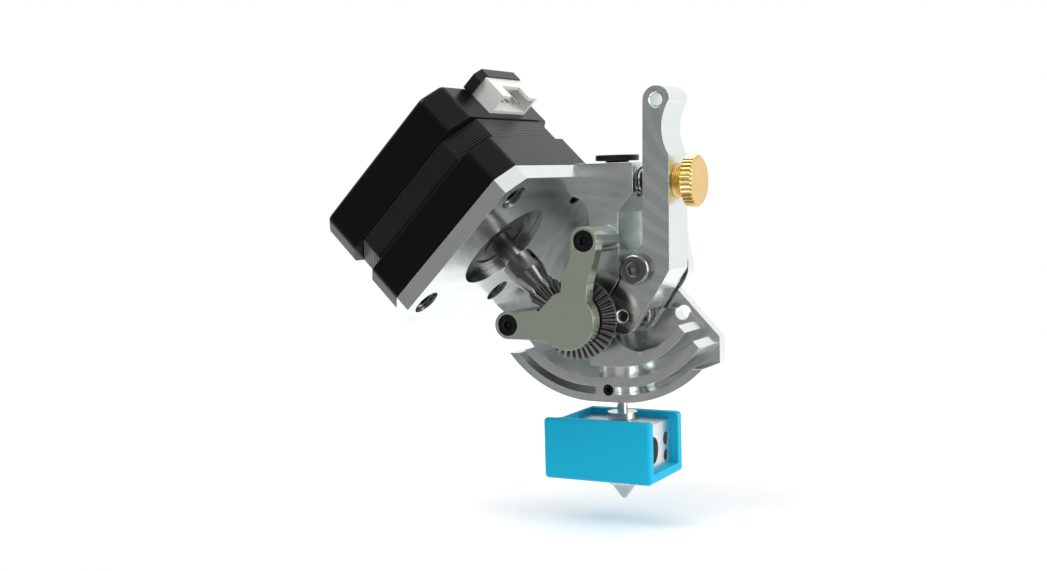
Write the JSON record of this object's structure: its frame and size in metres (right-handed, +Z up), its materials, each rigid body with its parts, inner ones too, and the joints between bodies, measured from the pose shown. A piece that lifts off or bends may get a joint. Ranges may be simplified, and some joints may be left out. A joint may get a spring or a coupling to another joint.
{
  "type": "extruder gear assembly",
  "caption": "Direct-drive filament extruder: angled flat stepper motor, bevel drive, hobbed gears, sprung idler lever, finned cold end and heater block with nozzle",
  "frame": {"origin": "centre of the two carriage bolt holes on the rear mounting face, straight behind the filament and level with the drive shaft", "axes": "+X to the right seen from the gears, +Y back into the carriage, +Z up against the filament feed"},
  "size_m": [0.076, 0.0461, 0.0961],
  "materials": {
    "body_alloy": "machined, bright",
    "motor_black": "satin black",
    "laminations": "black, fine lines",
    "gear_steel": "dark cut steel",
    "bright_steel": "ground",
    "dark_steel": "turned",
    "black_screw": "black oxide",
    "grey_screw": "plain",
    "bearing_steel": "shielded",
    "brass": "knurled and turned",
    "spring_steel": "wire",
    "copper": "enamelled copper",
    "white_plastic": "moulded",
    "black_plastic": "moulded",
    "ptfe": "waxy white",
    "block_alloy": "milled",
    "nozzle_brass": "plated",
    "silicone": "moulded, matt"
  },
  "bodies": {
    "frame": {"main_body": "body_alloy", "gear_cover": "body_alloy", "cover_screws": "black_screw", "cover_bearing": "bearing_steel", "rear_bearing": "bearing_steel", "motor_front_cap": "motor_black", "motor_stator": "laminations", "motor_rear_cap": "motor_black", "motor_windings": "copper", "motor_front_bearing": "bearing_steel", "motor_rear_bearing": "bearing_steel", "motor_case_screws": "black_screw", "motor_mount_screws": "black_screw", "connector_bracket": "black_plastic", "connector_socket": "white_plastic", "connector_pins": "bright_steel", "lever_pivot_screw": "grey_screw", "tension_spring": "spring_steel", "collet_seat": "brass", "ptfe_liner": "ptfe", "heat_break": "bright_steel", "heat_break_set_screw": "black_screw", "heater_block": "block_alloy", "block_grub_screws": "black_screw", "nozzle": "nozzle_brass", "silicone_sock": "silicone"},
    "drive": {"ring_gear": "gear_steel", "ring_gear_set_screw": "black_screw", "drive_shaft": "bright_steel", "drive_gear": "dark_steel"},
    "rotor": {"motor_rotor": "laminations", "motor_shaft": "bright_steel", "pinion_gear": "gear_steel", "pinion_set_screw": "black_screw"},
    "lever": {"idler_lever": "body_alloy", "idler_pin": "bright_steel", "lever_bushing": "dark_steel"},
    "idler": {"idler_gear": "dark_steel", "idler_bushing": "dark_steel"},
    "plunger": {"spring_plunger": "dark_steel"},
    "screw": {"thumb_screw": "brass"},
    "collet": {"filament_collet": "black_plastic"}
  },
  "joints": [
    {"name": "motor_spin", "type": "hinge", "parent": "frame", "child": "rotor", "pos_m": [-0.00375, -0.025, 0], "axis": [0.7071, 0, -0.7071], "continuous": true},
    {"name": "drive_spin", "type": "hinge", "parent": "frame", "child": "drive", "pos_m": [-0.00375, -0.0075, 0], "axis": [0, 1, 0], "continuous": true},
    {"name": "lever_open", "type": "hinge", "parent": "frame", "child": "lever", "pos_m": [0.0075, -0.00968, 0.0104], "axis": [0, -1, 0], "range_deg": [0, 5], "stiffness_Nm_per_rad": 0.3, "springref_deg": -11.46},
    {"name": "idler_spin", "type": "hinge", "parent": "lever", "child": "idler", "pos_m": [0.00375, -0.0075, 0], "axis": [0, 1, 0], "continuous": true},
    {"name": "plunger_slide", "type": "slide", "parent": "lever", "child": "plunger", "axis": [1, 0, 0], "range_m": [-0.0015, 0.00225], "deforming": ["tension_spring"]},
    {"name": "thumb_turn", "type": "hinge", "parent": "plunger", "child": "screw", "pos_m": [0.0174, -0.00968, 0.0292], "axis": [1, 0, 0], "range_deg": [-721, 1081]},
    {"name": "collet_press", "type": "slide", "parent": "frame", "child": "collet", "axis": [0, 0, 1], "range_m": [-0.0004, 0], "stiffness_N_per_m": 400, "springref_m": 0.001}
  ],
  "couplings": [
    {"joint": "drive_spin", "follows": "motor_spin", "ratio": 0.36111},
    {"joint": "idler_spin", "follows": "motor_spin", "ratio": -0.36111},
    {"joint": "thumb_turn", "follows": "plunger_slide", "rad_per_m": 8377.6}
  ]
}
